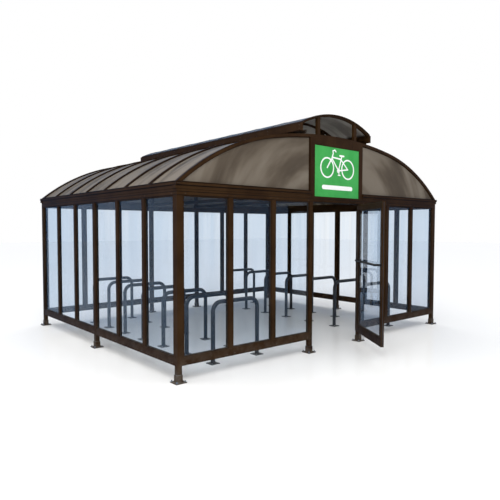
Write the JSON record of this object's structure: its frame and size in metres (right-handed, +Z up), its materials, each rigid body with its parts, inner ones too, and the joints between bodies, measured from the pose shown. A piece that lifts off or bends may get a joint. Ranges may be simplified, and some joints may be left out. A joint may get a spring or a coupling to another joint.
{
  "type": "bike shelter",
  "caption": "Glazed bike shelter with a barrel roof, a raised ridge vent, a hinged glass door, a green bicycle sign and rows of hoop racks inside.",
  "frame": {"origin": "centre of the plan on the ground, which is the centre of the rectangle of the four outermost anchor holes", "axes": "+X to the right along the front wall as seen from outside, +Y from the front wall with the door to the back wall, +Z up"},
  "size_m": [5.916, 5.7249, 3.585],
  "materials": {
    "frame_bronze": "dark bronze anodised, satin",
    "foot_bronze": "dark bronze, dusty",
    "hinge_bronze": "dark bronze, satin",
    "wall_glass": "clear, faintly blue",
    "roof_sheet": "bronze tinted translucent multiwall sheet",
    "sign_green": "green enamel",
    "rack_steel": "dark grey powder coat",
    "bar_black": "black, satin"
  },
  "bodies": {
    "shelter": {"base_plates": "foot_bronze", "foot_sleeves": "foot_bronze", "corner_posts": "frame_bronze", "side_posts": "frame_bronze", "door_posts": "frame_bronze", "back_posts": "frame_bronze", "front_rails": "frame_bronze", "back_rails": "frame_bronze", "side_rails": "frame_bronze", "front_bars": "frame_bronze", "back_bars": "frame_bronze", "side_bars": "frame_bronze", "front_glass": "wall_glass", "back_glass": "wall_glass", "left_glass": "wall_glass", "right_glass": "wall_glass", "end_headers": "frame_bronze", "side_headers": "frame_bronze", "end_eaves": "frame_bronze", "side_eaves": "frame_bronze", "tie_beams": "frame_bronze", "roof_sheets": "roof_sheet", "roof_ribs": "frame_bronze", "ridge_ribs": "frame_bronze", "ridge_kerbs": "frame_bronze", "end_arches": "frame_bronze", "gable_uprights": "frame_bronze", "gable_heads": "frame_bronze", "front_gable": "roof_sheet", "back_gable": "roof_sheet", "sign_board": "sign_green", "vent_posts": "frame_bronze", "vent_eaves": "frame_bronze", "vent_ribs": "frame_bronze", "vent_sheet": "roof_sheet", "rack_hoops": "rack_steel", "rack_flanges": "rack_steel", "hinge_brackets": "hinge_bronze"},
    "door": {"door_frame": "frame_bronze", "door_glass": "wall_glass", "push_bar": "bar_black", "hinge_straps": "hinge_bronze"}
  },
  "joints": [
    {"name": "door_hinge", "type": "hinge", "parent": "shelter", "child": "door", "pos_m": [0.563, -2.392, 1.2], "axis": [0, 0, 1], "range_deg": [-55.5, 49.5]}
  ]
}
